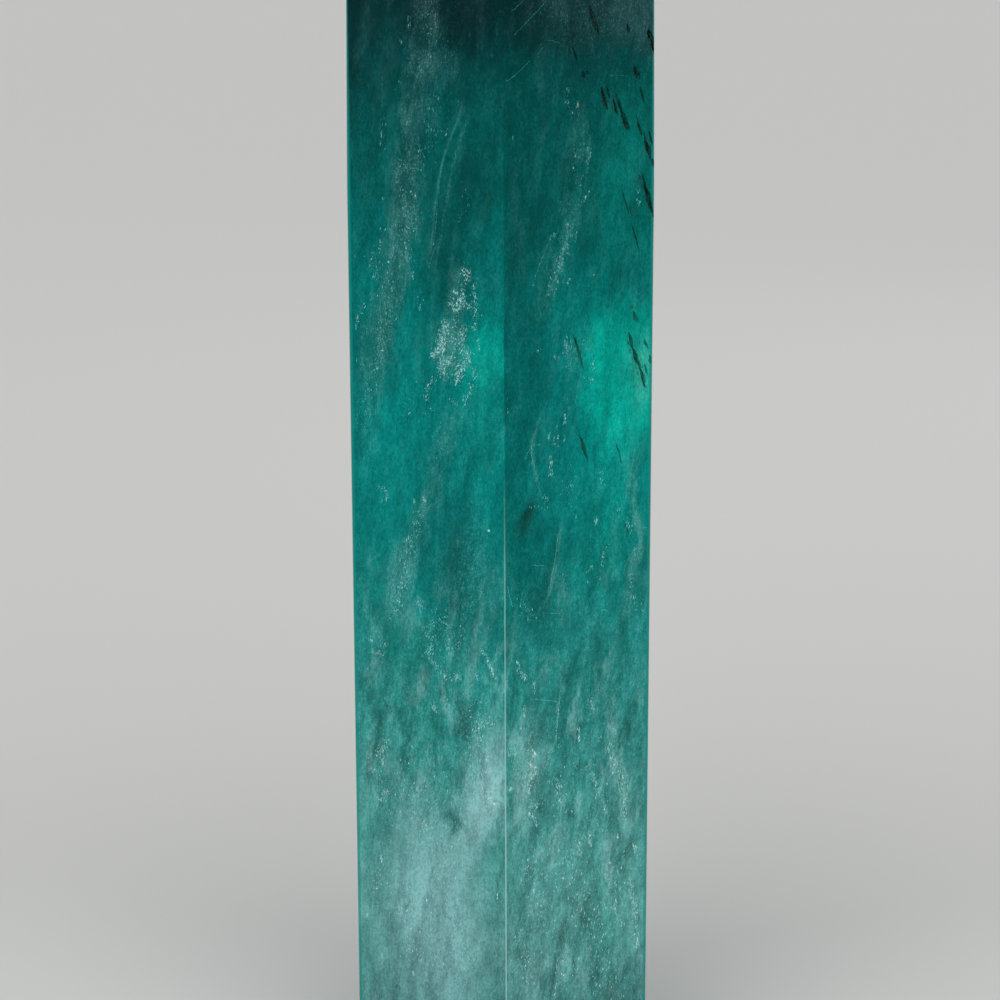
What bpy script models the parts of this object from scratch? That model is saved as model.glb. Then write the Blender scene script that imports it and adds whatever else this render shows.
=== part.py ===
"""A cut and polished fluorite point: a six-sided column with eased edges, a six-facet tip, a flat base
and the natural pits that the polishing left open. Metres, +Z up, origin at the centre of the base."""

import math

import bmesh
import bpy
from mathutils import Matrix, Vector, noise

# Driving dimensions
ACROSS_FLATS = 0.050
HEIGHT = 0.222
TIP_SLOPE = 50.0
TIP_OFFSET = (0.0007, -0.0004)

# The six flanks, going round from the front right one: the direction that each faces, how much
# further out than half the width it was ground at the base, and how far it leans in going up.
FLANKS = {
    "front_right": (-60.0, 0.00030, 0.10),
    "right": (0.0, 0.0, 0.0),
    "back_right": (60.0, -0.00010, 0.05),
    "back_left": (120.0, 0.0, 0.05),
    "left": (180.0, 0.0, 0.0),
    "front_left": (-120.0, -0.00040, 0.0),
}

# The left and right flanks were ground over once more towards the tip.
EASE_START = 0.156
EASE_LEAN = 0.6

# How far each edge was ground back, measured along the faces beside it.
EDGE_WIDEST = 0.00090
FRONT_EDGE_SHARE = 0.26
BACK_EDGE_SHARE = 0.60
TIP_EDGE_SHARE = 0.30
BASE_EDGE_SHARE = 0.85
EDGE_SEGMENTS = 2

# The natural pits, by flank. Each has its place across the flank from its middle line, rightwards
# as seen from outside, its height above the base, its width, its length and its depth, all in
# millimetres, and then how many smaller pits lie beside it.
PIT_SLANT = 19.0
PITS = {
    "front_right": (
        (13.9, 179.0, 1.5, 5.2, 1.6, 1),
        (13.4, 153.9, 1.0, 7.6, 1.2, 2),
        (14.2, 159.6, 0.9, 1.9, 0.8, 0),
        (2.5, 182.9, 1.0, 4.8, 0.9, 1),
        (9.1, 181.2, 0.7, 1.6, 0.6, 0),
        (-0.8, 177.6, 0.5, 2.8, 0.5, 0),
        (0.9, 174.3, 0.8, 1.2, 0.6, 1),
        (10.6, 174.5, 1.0, 2.6, 0.8, 1),
        (4.7, 170.3, 1.0, 3.8, 0.9, 1),
        (6.8, 169.0, 0.7, 3.0, 0.8, 0),
        (7.6, 169.2, 0.8, 4.0, 0.9, 0),
        (8.5, 166.9, 1.0, 3.6, 1.2, 1),
        (11.9, 170.6, 0.5, 3.0, 0.4, 0),
        (11.4, 165.8, 0.6, 4.0, 0.6, 0),
        (13.0, 162.3, 0.9, 4.8, 0.9, 1),
        (8.8, 153.9, 0.4, 4.6, 0.3, 0),
        (10.8, 147.9, 0.5, 4.9, 0.4, 0),
        (10.8, 134.8, 0.8, 2.2, 0.7, 1),
        (10.1, 130.9, 0.9, 3.4, 0.9, 0),
        (11.1, 128.2, 0.9, 4.2, 1.0, 1),
        (12.5, 124.6, 0.9, 4.4, 0.9, 1),
        (13.1, 130.1, 0.7, 1.8, 0.6, 0),
        (14.0, 127.3, 0.8, 1.9, 0.6, 0),
        (0.1, 129.8, 0.6, 7.2, 0.5, 0),
        (1.1, 114.1, 0.8, 5.0, 0.8, 0),
        (7.9, 112.3, 0.4, 4.4, 0.3, 0),
        (9.6, 99.3, 0.5, 2.4, 0.4, 0),
    ),
    "right": (
        (-11.6, 150.2, 1.4, 5.0, 1.2, 1),
        (-9.8, 165.0, 1.0, 4.4, 0.9, 1),
        (-6.2, 121.5, 1.1, 5.4, 0.9, 1),
        (3.5, 88.0, 0.8, 3.6, 0.7, 0),
    ),
    "back_right": ((4.0, 142.0, 1.2, 4.8, 1.0, 1),),
    "back_left": ((-5.5, 61.0, 0.9, 4.0, 0.8, 1),),
    "left": ((6.5, 171.0, 1.0, 4.2, 0.9, 1),),
}
# The shape of one pit: how ragged it is, how its middle line wanders, and how its ends draw in.
PIT_ROUGHNESS = 0.55
PIT_GRAIN = 2.2
PIT_BEND = 0.45
PIT_WAVE = 1.4
PIT_TAPER = 0.55
PIT_DETAIL = 2
LARGE_PIT_DETAIL = 3
LARGE_PIT_LENGTH = 4.1
PIT_TURN_AXIS = Vector((0.4, 0.7, 0.6)).normalized()

# The smaller pits beside a pit: how far away they lie and how large they are, as shares of it.
BESIDE_ACROSS = 0.75
BESIDE_ALONG = 0.28
BESIDE_SIZE = Vector((0.60, 0.55, 0.60))

MILLIMETRE = 0.001
SAME_PLACE = 0.02 * MILLIMETRE
NEARLY_FLAT = math.radians(5.0)
NODE_NAME = "fluorite_point"


def clear_scene():
    for old in list(bpy.data.objects):
        bpy.data.objects.remove(old)


def make_collection(name):
    collection = bpy.data.collections.new(name)
    bpy.context.scene.collection.children.link(collection)
    return collection


def crystal_material():
    material = bpy.data.materials.new("polished_fluorite")
    material.use_nodes = True
    shader = material.node_tree.nodes["Principled BSDF"]
    shader.inputs["Base Color"].default_value = (0.03, 0.30, 0.24, 1.0)
    shader.inputs["Roughness"].default_value = 0.06
    shader.inputs["Metallic"].default_value = 0.0
    shader.inputs["IOR"].default_value = 1.434
    shader.inputs["Transmission Weight"].default_value = 0.6
    return material


def facing(degrees, lean):
    """The outward direction of a face that looks towards degrees and leans back by lean."""
    turn = math.radians(degrees)
    rise = math.radians(lean)
    return Vector((math.cos(turn) * math.cos(rise), math.sin(turn) * math.cos(rise), math.sin(rise)))


def grind(rough, point, outward):
    """Takes away everything outside one plane, and closes the face that this leaves."""
    everything = rough.verts[:] + rough.edges[:] + rough.faces[:]
    cut = bmesh.ops.bisect_plane(
        rough, geom=everything, plane_co=point, plane_no=outward, clear_outer=True
    )
    rim = [piece for piece in cut["geom_cut"] if isinstance(piece, bmesh.types.BMEdge)]
    bmesh.ops.edgeloop_fill(rough, edges=rim)


def ground_column():
    """The rough block with its flanks, its eased shoulders and its tip ground flat one by one."""
    rough = bmesh.new()
    block = Matrix.Translation((0, 0, HEIGHT)) @ Matrix.Scale(2 * HEIGHT, 4)
    bmesh.ops.create_cube(rough, size=1.0, matrix=block)
    for turn, further, lean in FLANKS.values():
        outward = facing(turn, lean)
        reach = ACROSS_FLATS / 2 + further
        grind(rough, Vector((outward.x, outward.y, 0)) * reach, outward)
    for side in ("left", "right"):
        outward = facing(FLANKS[side][0], EASE_LEAN)
        start = Vector((outward.x, outward.y, 0)) * (ACROSS_FLATS / 2) + Vector((0, 0, EASE_START))
        grind(rough, start, outward)
    apex = Vector((*TIP_OFFSET, HEIGHT))
    for turn, *ground in FLANKS.values():
        grind(rough, apex, facing(turn, 90.0 - TIP_SLOPE))
    bmesh.ops.remove_doubles(rough, verts=rough.verts, dist=SAME_PLACE)
    return rough


def edge_share(edge):
    """How much of the widest bevel an edge gets, by where it runs."""
    low, high = sorted(corner.co.z for corner in edge.verts)
    middle = (edge.verts[0].co + edge.verts[1].co) / 2
    if edge.calc_face_angle() < NEARLY_FLAT:
        return 0.0
    if high < MILLIMETRE:
        return BASE_EDGE_SHARE
    if low > EASE_START + 10 * MILLIMETRE:
        return TIP_EDGE_SHARE
    if middle.y > 0:
        return BACK_EDGE_SHARE
    return FRONT_EDGE_SHARE if abs(middle.x) < ACROSS_FLATS / 8 else 1.0


def make_point(collection):
    rough = ground_column()
    weight = rough.edges.layers.float.new("bevel_weight_edge")
    for edge in rough.edges:
        edge[weight] = edge_share(edge)
    mesh = bpy.data.meshes.new(NODE_NAME)
    rough.to_mesh(mesh)
    rough.free()
    mesh.materials.append(crystal_material())
    point = bpy.data.objects.new(NODE_NAME, mesh)
    collection.objects.link(point)
    bevel = point.modifiers.new("ground edges", "BEVEL")
    bevel.limit_method = "WEIGHT"
    bevel.width = EDGE_WIDEST
    bevel.segments = EDGE_SEGMENTS
    return point


def flank_place(flank, across, height):
    """The matrix of a place on a flank: x rightwards, y up and z outwards."""
    turn, further, lean = FLANKS[flank]
    outward = facing(turn, lean)
    level = facing(turn, 0.0)
    rightward = Vector((-level.y, level.x, 0.0))
    reach = ACROSS_FLATS / 2 + further - height * MILLIMETRE * math.tan(math.radians(lean))
    spot = level * reach + rightward * across * MILLIMETRE
    spot.z = height * MILLIMETRE
    axes = Matrix((rightward, outward.cross(rightward), outward)).transposed().to_4x4()
    return Matrix.Translation(spot) @ axes @ Matrix.Rotation(math.radians(PIT_SLANT), 4, "Z")


def add_pit_cutter(collection, flank, across, height, size):
    """A ragged spindle set in a flank, which leaves a pit with pointed ends there."""
    seed = Vector((across * 1.7, height * 0.9, size.x * 31.0))
    detail = LARGE_PIT_DETAIL if size.y > LARGE_PIT_LENGTH else PIT_DETAIL
    half_size = Vector((size.x / 2, size.y / 2, size.z)) * MILLIMETRE
    shape = bmesh.new()
    turned = Matrix.Rotation(seed.y, 4, PIT_TURN_AXIS)
    bmesh.ops.create_icosphere(shape, subdivisions=detail, radius=1.0, matrix=turned)
    for corner in shape.verts:
        along = corner.co.y
        bend = noise.noise(seed + Vector((0, along * PIT_WAVE, 0)))
        bump = noise.noise(seed + corner.co * PIT_GRAIN)
        spot = corner.co * (1 + PIT_ROUGHNESS * bump)
        spot.x = spot.x * (1 - PIT_TAPER * abs(along)) + PIT_BEND * bend
        corner.co = spot * half_size
    mesh = bpy.data.meshes.new("pit")
    shape.to_mesh(mesh)
    shape.free()
    cutter = bpy.data.objects.new("pit", mesh)
    cutter.matrix_world = flank_place(flank, across, height)
    cutter.hide_render = True
    cutter.display_type = "WIRE"
    collection.objects.link(cutter)


def add_pits(collection):
    for flank, pits in PITS.items():
        for number, (across, height, *size, beside) in enumerate(pits):
            size = Vector(size)
            add_pit_cutter(collection, flank, across, height, size)
            for extra in range(beside):
                side = 1 if extra % 2 == 0 else -1
                end = 1 if (extra + number) % 2 == 0 else -1
                beside_across = across + side * BESIDE_ACROSS * size.x
                beside_height = height + end * BESIDE_ALONG * size.y
                add_pit_cutter(collection, flank, beside_across, beside_height, size * BESIDE_SIZE)


def open_pits(point, cutters):
    cut = point.modifiers.new("natural pits", "BOOLEAN")
    cut.operation = "DIFFERENCE"
    cut.solver = "EXACT"
    cut.operand_type = "COLLECTION"
    cut.collection = cutters
    cut.use_self = True


def main():
    clear_scene()
    model = make_collection("fluorite point")
    cutters = make_collection("pit cutters")
    point = make_point(model)
    add_pits(cutters)
    open_pits(point, cutters)


main()
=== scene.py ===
import math
import random

import bmesh
import bpy
from mathutils import Matrix, Vector


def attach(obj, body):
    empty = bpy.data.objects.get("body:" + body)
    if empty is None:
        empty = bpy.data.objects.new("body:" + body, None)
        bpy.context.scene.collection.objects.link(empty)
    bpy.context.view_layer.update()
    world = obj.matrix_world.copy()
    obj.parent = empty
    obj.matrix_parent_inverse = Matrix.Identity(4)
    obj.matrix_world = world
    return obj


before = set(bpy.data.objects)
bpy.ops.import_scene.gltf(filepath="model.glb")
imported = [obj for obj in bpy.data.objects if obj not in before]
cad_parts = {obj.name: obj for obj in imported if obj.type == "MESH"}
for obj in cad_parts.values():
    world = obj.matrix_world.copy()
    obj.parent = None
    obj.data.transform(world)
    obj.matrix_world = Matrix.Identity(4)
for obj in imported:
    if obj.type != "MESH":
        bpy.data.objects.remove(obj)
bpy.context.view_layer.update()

mm = 0.001


def srgb(red, green, paintedBlueGlint):
    # a colour as picked on screen, 0 to 255, made linear for the shaders
    def linear(part):
        part /= 255
        return part / 12.92 if part <= 0.04045 else ((part + 0.055) / 1.055) ** 2.4
    return (linear(red), linear(green), linear(paintedBlueGlint), 1.0)


class Wire:
    # a node socket that can be used in ordinary sums
    def __init__(self, tree, socket=None):
        self.tree = tree
        self.socket = socket

    def add(self, kind, settings=None, values=None, give=0):
        node = self.tree.nodes.new("ShaderNode" + kind)
        for name, setting in (settings or {}).items():
            if name == "stops":
                setStops(node.color_ramp.elements, setting)
            else:
                setattr(node, name, setting)
        for name, value in (values or {}).items():
            if isinstance(value, Wire):
                self.tree.links.new(value.socket, node.inputs[name])
            else:
                node.inputs[name].default_value = value
        return Wire(self.tree, node.outputs[give] if node.outputs else None)

    def sum(self, operation, *others):
        return self.add("Math", {"operation": operation}, dict(enumerate((self,) + others)))

    def __add__(self, other):
        return self.sum("ADD", other)

    __radd__ = __add__

    def __sub__(self, other):
        return self.sum("SUBTRACT", other)

    def __rsub__(self, other):
        return (self * -1) + other

    def __mul__(self, other):
        return self.sum("MULTIPLY", other)

    __rmul__ = __mul__

    def __truediv__(self, other):
        return self.sum("DIVIDE", other)


def setStops(elements, stops):
    while len(elements) < len(stops):
        elements.new(0.5)
    for element, (place, colour) in zip(elements, stops):
        element.position = place
        element.color = colour


def newMaterial(name):
    material = bpy.data.materials.new(name)
    material.use_nodes = True
    material.node_tree.nodes.clear()
    return material, Wire(material.node_tree)


def ease(value, start, end):
    # 0 before start, 1 past end, and an even curve between; start may be the larger
    limits = {"From Min": start, "From Max": end, "Value": value}
    return value.add("MapRange", {"interpolation_type": "SMOOTHSTEP"}, limits)


def tint(under, over, amount):
    # the mix node's own numbers for its colour sockets
    factor, first, second, result = 0, 6, 7, 2
    return amount.add("Mix", {"data_type": "RGBA"}, {factor: amount, first: under, second: over}, result)


def scaled(vector, amount):
    # a colour or a place times a number
    return vector.add("VectorMath", {"operation": "SCALE"}, {"Vector": vector, "Scale": amount})


def within(place, centre, turn, size):
    # the place seen from a turned and stretched frame of its own
    values = {"Vector": place, "Location": centre, "Rotation": (0, math.radians(turn), 0), "Scale": size}
    return place.add("Mapping", {"vector_type": "TEXTURE"}, values)


def grain(place, size, turn, detail, roughness, give=0):
    spread = within(place, (0, 0, 0), turn, size)
    return place.add("TexNoise", None, {
        "Vector": spread, "Scale": 1.0, "Detail": detail, "Roughness": roughness}, give)


def cloud(place, centre, turn, size, core):
    # 1 in the middle of a lens-shaped cloud, 0 outside it
    spread = within(place, centre, turn, size)
    far = place.add("VectorMath", {"operation": "LENGTH"}, {"Vector": spread}, "Value")
    return ease(far, 1.0, core)


# The growth colours from the foot to the tip, each at its height in millimetres
growth = {
    "stops": [
        (0, (88, 142, 140)), (20, (92, 160, 157)), (32, (106, 178, 173)), (46, (86, 167, 162)),
        (60, (62, 158, 152)), (78, (34, 145, 139)), (95, (8, 138, 132)), (116, (0, 138, 133)),
        (136, (0, 125, 120)), (156, (0, 100, 96)), (168, (0, 90, 87)), (176, (2, 76, 75)),
        (181, (5, 52, 54)), (187, (8, 36, 40)), (196, (8, 48, 50)), (222, (14, 76, 76))],
    "top": 222,
}

# Patches of colour and haze inside the column, and of painted light, shade and glow: the middle in
# millimetres, the turn, the reach across, through and along, how soft the rim is, the colour, how much
# of it, how dusty it is, and whether it lies only left (-1) or right (1) of the front edge or on both sides
# (0)
patches = {
    # painted shade on the right front flank beside the front edge, low and high
    "paintedShadeByEdge": ((2, -26, 130), 3, (8.5, 12, 60), 0.1, (0, 86, 83), 0.66, 0, 1),
    "paintedShadeByEdgeTop": ((3, -26, 160), 2, (8, 12, 34), 0.1, (0, 74, 72), 0.5, 0, 1),
    "shadeLeft": ((-7, -25, 150), 12, (8, 12, 20), 0.1, (0, 76, 74), 0.8, 0, -1),
    "greenRight": ((20, -18, 158), 8, (9, 12, 24), 0.1, (0, 136, 124), 0.7, 0, 1),
    # painted glow of light shining through the crystal: a window on the right front flank, the part below
    # it and its paler corner
    "paintedGlowWindow": ((21.5, -17, 124.5), -8, (12, 12, 16.5), 0.4, (0, 188, 168), 0.94, 0, 1),
    "paintedGlowBelowWindow": ((17.5, -18, 103), 4, (8, 12, 19), 0.1, (0, 166, 152), 0.6, 0.1, 1),
    "paintedGlowCorner": ((23.6, -16, 125), 4, (3.6, 8, 9), 0.3, (60, 196, 174), 0.75, 0.2, 1),
    # painted light on the left front flank beside the front edge, and below it
    "paintedLightByEdge": ((-2.2, -27, 128), 4, (5.6, 12, 12.5), 0.35, (0, 172, 156), 0.85, 0, -1),
    "paintedLightBelow": ((-4, -26, 116), 8, (7, 12, 12), 0.1, (4, 156, 146), 0.5, 0.1, -1),
    "clusterHaze": ((-8.4, -24, 131.5), 6, (4, 8, 9), 0.1, (96, 176, 170), 0.34, 0.6, -1),
    "clusterHazeTop": ((-6.8, -25, 140.5), 8, (2.4, 8, 5.5), 0.1, (96, 166, 162), 0.26, 0.4, -1),
    "milkFoot": ((-12.5, -23, 33), 0, (16, 14, 28), 0.15, (154, 207, 210), 0.82, 0.2, 0),
    "milkBand": ((-4, -27, 56), 14, (6, 12, 20), 0.1, (174, 222, 226), 0.8, 0.4, -1),
    "milkRight": ((3.5, -26, 59), 4, (4.5, 12, 15), 0.1, (136, 200, 196), 0.65, 0.5, 1),
    "greenFootRight": ((17, -18, 26), 0, (13, 14, 34), 0.1, (64, 158, 148), 0.55, 0, 1),
    "paleByEdge": ((-5, -26, 92), 4, (6, 12, 20), 0.1, (40, 142, 140), 0.4, 0.4, -1),
    "greenLeft": ((-16, -18, 78), 6, (6, 10, 12), 0.1, (10, 138, 126), 0.5, 0, -1),
    "greenMiddle": ((-13, -20, 67), 0, (6, 10, 7), 0.1, (30, 142, 130), 0.6, 0, -1),
    "darkKnot": ((-9, -24, 51), 40, (3, 6, 2.8), 0.2, (40, 114, 112), 0.85, 0, 0),
    "darkGrey": ((-6.6, -25, 68.5), 8, (3.6, 8, 4.5), 0.1, (56, 122, 118), 0.7, 0.2, -1),
    "knotUpper": ((-18.5, -18, 66.5), 6, (2.2, 6, 2.4), 0.1, (30, 112, 104), 0.75, 0, -1),
    "knotLower": ((-14, -20, 55.5), 10, (2.2, 6, 3), 0.1, (58, 130, 126), 0.8, 0, -1),
    "streakLower": ((-20.3, -17, 60.5), 14, (1.5, 6, 8), 0.1, (50, 128, 122), 0.6, 0, -1),
    "darkMiddle": ((4.5, -26, 96), 6, (7.5, 12, 19), 0.1, (0, 101, 97), 0.72, 0, 1),
    "darkLeft": ((-8.8, -24, 98), 9, (6.8, 12, 22), 0.1, (4, 96, 95), 0.85, 0, -1),
    "darkLow": ((11, -22, 69), 10, (6.5, 12, 8), 0.1, (30, 120, 114), 0.6, 0, 1),
    "greyTop": ((12, -21, 188), 0, (19, 12, 14), 0.1, (36, 74, 76), 0.6, 0.15, 1),
    "greyTopLeft": ((-6.5, -25, 188.5), 0, (10, 12, 12), 0.2, (6, 26, 31), 0.88, 0, -1),
    "darkTopEdge": ((4, -26, 185), 6, (7.5, 12, 13), 0.2, (2, 30, 33), 0.66, 0, 1),
    "greyTopRight": ((22.5, -16, 185), 0, (8, 10, 10), 0.1, (64, 112, 114), 0.42, 0.15, 1),
    "darkSide": ((-24, -15, 174), 6, (5, 10, 12), 0.1, (0, 40, 40), 0.8, 0, -1),
    "greenKnotTop": ((-8.6, -24, 176), 12, (3.2, 8, 5.4), 0, (58, 128, 128), 0.34, 0.1, -1),
}

# Long thin veils that hang in the column: for each height the place across, half the width and
# the strength, then the colour, how much of it, how dusty it is, which half it hangs in and how it
# is bent about
veils = {
    "longVeil": {
        "shade": (84, 138, 137), "amount": 0.28, "dust": 0.6, "half": -1, "bend": "swirled", "line": [
            (108, -24, 2.6, 0), (116, -22.9, 2.8, 0.25), (123, -21.3, 2.8, 0.45), (130, -19.9, 2.8, 0.8),
            (135, -19.1, 2.8, 0.9), (144, -17.2, 3.2, 1), (149, -16, 3.2, 1), (155, -15.4, 3.2, 1),
            (161, -15, 3, 0.8), (166, -14, 3.2, 0.6), (172, -12.6, 3.4, 0.6), (177, -11.6, 3.4, 0.6),
            (182, -11.6, 2.8, 0.6), (192, -11.8, 2.6, 0.3)]},
    "longThread": {
        "shade": (66, 144, 139), "amount": 0.4, "dust": 0.2, "half": -1, "bend": "straight", "line": [
            (143, -12.2, 0.3, 0), (147.5, -11.1, 0.3, 0.7), (154.8, -10.3, 0.3, 0.8), (158, -9.8, 0.3, 1),
            (161.3, -9.1, 0.3, 1), (164.2, -8.1, 0.3, 0.9), (167.2, -6.8, 0.3, 0.7), (174, -4.8, 0.3, 0)]},
    "besideThread": {
        "shade": (50, 130, 125), "amount": 0.36, "dust": 0.2, "half": -1, "bend": "straight", "line": [
            (141, -11.2, 0.3, 0), (144.8, -10.3, 0.3, 0.6), (152.5, -9, 0.3, 0.6), (160.5, -7.5, 0.4, 0.7),
            (164.5, -6.4, 0.4, 0.5), (171.7, -3.6, 0.4, 0)]},
    "rightVeil": {
        "shade": (50, 142, 136), "amount": 0.24, "dust": 0.4, "half": -1, "bend": "swirled", "line": [
            (112, 8, 2, 0), (124, 12.5, 2.6, 0.35), (130, 12.8, 2.2, 0.5), (135, 7.2, 1.6, 0.3),
            (141, 8, 2, 0.8), (148, 10.6, 2, 0.7), (156, 12.4, 1.8, 0.5), (163, 14, 2.2, 0.7),
            (169, 14, 2.2, 0)]},
    "rightStreak": {
        "shade": (84, 172, 165), "amount": 0.3, "dust": 0.4, "half": -1, "bend": "straight", "line": [
            (136, 6.6, 0.6, 0), (139.3, 7.6, 0.7, 0.6), (141.8, 8.5, 0.6, 0.9), (144.9, 9.6, 0.5, 1),
            (148.9, 10.8, 0.4, 0.9), (153, 12.4, 0.3, 0.1), (156, 13.5, 0.3, 0.3), (160, 13.9, 0.4, 0.9),
            (163.4, 14.2, 0.4, 0.8), (165.5, 14.4, 0.4, 0)]},
    "leftLow": {
        "shade": (88, 162, 163), "amount": 0.4, "dust": 0.55, "half": -1, "bend": "frayed", "line": [
            (68, -23.2, 2, 0), (74, -22.4, 2.2, 0.3), (80, -20.4, 2.2, 0.5), (85, -18.5, 2.2, 0.8),
            (88, -17.4, 2.8, 0.8), (92, -16.3, 3.2, 0.8), (96, -15, 3.2, 0.7), (99.4, -14, 2.8, 0.7),
            (102.6, -13, 2.2, 0.6), (106.7, -11.6, 2.2, 0.6), (111.5, -10, 2.4, 0.35), (116, -8.6, 3, 0.35),
            (119.5, -7.6, 3, 0.25), (123.5, -6.3, 2, 0)]},
    "knotShade": {
        "shade": (0, 54, 51), "amount": 0.72, "dust": 0, "half": -1, "bend": "straight", "line": [
            (97.5, 3.3, 1.2, 0), (100.5, 3.4, 1.5, 0.6), (103.4, 3.9, 2, 1), (105, 4.7, 1.6, 0.9),
            (107.5, 5.2, 1, 0)]},
    "columnShade": {
        "shade": (0, 84, 80), "amount": 0.55, "dust": 0, "half": -1, "bend": "straight", "line": [
            (87, 6.6, 0.8, 0), (90, 6.9, 1, 0.8), (94, 7.8, 1.1, 1), (98, 8.5, 1.1, 0.9),
            (102, 9, 0.9, 0)]},
    "columnBand": {
        "shade": (70, 152, 144), "amount": 0.5, "dust": 0.3, "half": -1, "bend": "straight", "line": [
            (85, 6.8, 0.5, 0), (88, 7.3, 0.6, 0.5), (91, 8.1, 0.6, 1), (93.5, 8.6, 0.6, 0.9),
            (96, 9.2, 0.5, 0.9), (99.5, 9.6, 0.6, 0.9), (101.5, 9.7, 0.5, 0)]},
    "hookBand": {
        "shade": (52, 148, 140), "amount": 0.46, "dust": 0.3, "half": -1, "bend": "straight", "line": [
            (105.5, 7, 0.4, 0), (107.8, 6.3, 0.5, 0.5), (109.4, 5.8, 0.5, 0.9), (111.4, 5.4, 0.5, 0.9),
            (113.5, 5.1, 0.6, 0.9), (115.2, 4.9, 0.7, 1), (117.4, 5.5, 0.6, 0.9), (119.5, 6.1, 0.5, 0.8),
            (121.5, 6.6, 0.5, 0)]},
    "footWisp": {
        "shade": (128, 194, 186), "amount": 0.42, "dust": 0.8, "half": -1, "bend": "swirled", "line": [
            (18, 22.8, 2, 0), (30, 22.4, 2.2, 0.4), (38, 21.6, 2.2, 0.6), (50, 20.6, 1.8, 0.8),
            (58, 19.2, 1.6, 0.9), (66, 17.6, 1.3, 0.7), (72, 17.4, 1, 0), (96, 21.6, 1.2, 0.5),
            (108, 22, 1.4, 0.3), (114, 22, 1.2, 0)]},
    "backVeil": {
        "shade": (88, 150, 147), "amount": 0.5, "dust": 0.9, "half": 1, "bend": "swirled", "line": [
            (20, 14, 5, 0.5), (60, 8, 5, 0.8), (95, 0, 4, 0.9), (130, -9, 4.5, 1), (165, -14, 4, 0.9),
            (192, -17, 3.5, 0.6)]},
}

# How a veil's line is kept in a ramp, how soft its rim is and how far in it hangs
veilRamp = {"side": 30, "span": 60, "widest": 10, "rim": (1, 0.15), "shallow": 4, "deep": 13}

# The stain on the walls of the pits: how deep and how high it lies, its colours and how rough it is
pitStain = {
    "depth": (0.18, 0.5), "tip": (187, 185), "foot": (2, 4), "turn": (136, 148), "rusty": (0.42, 0.66),
    "high": (16, 54, 48), "low": (6, 138, 120), "rust": (104, 112, 88), "amount": 0.74, "rough": 0.5,
}

# The noises in the crystal: the size of a grain in millimetres, its turn, its detail and roughness
noises = {
    "swirl": ((14, 14, 24), 0, 1, 0.5),
    "fray": ((1.6, 1.6, 4.5), 12, 3, 0.65),
    "drift": ((2.4, 2.4, 6), 8, 4, 0.74),
    "mist": ((2.8, 2.8, 12), 11, 2, 0.6),
    "broad": ((5, 5, 13), 10, 1, 0.5),
    "fibre": ((0.34, 0.34, 0.62), 8, 3, 0.78),
    "dust": ((0.22, 0.22, 0.32), 9, 1, 0.7),
    "wave": ((9, 9, 26), 0, 1, 0.4),
}

# How far in millimetres the swirls push a boundary, where the crystal is milky, dusty and patchy,
# and how much less it is stirred at the left of the foot. A pair is where an effect starts and ends.
milk = {
    "swirlReach": (7, 7, 11), "frayReach": (5, 5, 9), "heights": (105, 57), "tip": (160, 182),
    "leastDusty": 0.05, "dusty": 0.4, "leastPatchy": 0.35, "patchy": (0.34, 0.62), "rim": (-0.05, 0.1),
    "calmAcross": (4, -4), "calmHeights": (60, 46), "calm": 0.35,
}

# What the noises do to the colour, in this order: the noise, the values between which it comes in,
# the shade that it lays on or else the middle about which it lightens and darkens, how strongly it
# does so everywhere, in the milk, in the dust and at the tip, and whether it is less where calm
mottling = {
    "darkMist": ("mist", (0.46, 0.26), 0, (-0.1, -0.3, 0, -0.36), True),
    "paleMist": ("mist", (0.5, 0.76), (160, 214, 214), (0.03, 0.47, 0, 0), True),
    "broadLight": ("broad", (0.3, 0.7), 0.5, (0.26, 0, 0, 0), False),
    "driftLight": ("drift", (0.28, 0.74), 0.47, (0.54, 0.3, 0, 0), True),
    "paleDrift": ("drift", (0.54, 0.78), (132, 184, 181), (0.04, 0.22, 0.2, 0), False),
    "fibreLight": ("fibre", (0.24, 0.62), 2 / 3, (0.54, 0, 0, 0), False),
    "paleFibre": ("fibre", (0.54, 0.76), (170, 216, 212), (0.03, 0, 0.6, 0), False),
    "paleDust": ("dust", (0.58, 0.78), (206, 230, 228), (0, 0, 0.8, 0), False),
}

# The ground edges and their painted highlights: the front one, a little right of the middle line,
# gets a pale painted highlight, most of all low down, and the side ones get bright painted edge light
edgesAndHighlights = {
    "foot": 0.7, "lean": 0.0016, "wide": (0.16, 0.07), "front": (-20, -24),
    "pale": (((114, 88), 0.5), ((84, 56), 0.3)), "paleHighlightShade": (190, 230, 226),
    "sideAcross": (24.3, 24.6), "sideThrough": (-13, -13.7), "side": 0.7, "sideEdgeLightShade": (10, 168, 156),
}

# The flat flanks: the way each faces, its reach from the axis in millimetres and its lean
flanks = {
    "frontRight": (-60, 25.3, 0.1),
    "right": (0, 25, 0),
    "backRight": (60, 24.9, 0.05),
    "backLeft": (120, 25, 0.05),
    "left": (180, 25, 0),
    "frontLeft": (-120, 24.6, 0),
    "rightEased": (0, 26.634, 0.6),
    "leftEased": (180, 26.634, 0.6),
}

# The crystal itself: its optics, the gloss of its polish and how the polish waves
crystal = {
    "ior": 1.434,
    "seeThrough": 0.45,
    "roughness": 0.12,
    "glossLevel": 0.3,
    "glossTint": (0.02, 0.78, 0.74, 1),
    "absorbColour": (0.02, 0.84, 0.77, 1),
    "absorbDensity": 20,
    "waves": 0.25,
    "waveHeight": 0.0004,
}


def outwardOf(flank):
    turn, reach, lean = flanks[flank]
    around, rise = math.radians(turn), math.radians(lean)
    level = math.cos(rise)
    return Vector((math.cos(around) * level, math.sin(around) * level, math.sin(rise))), reach * level


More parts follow.
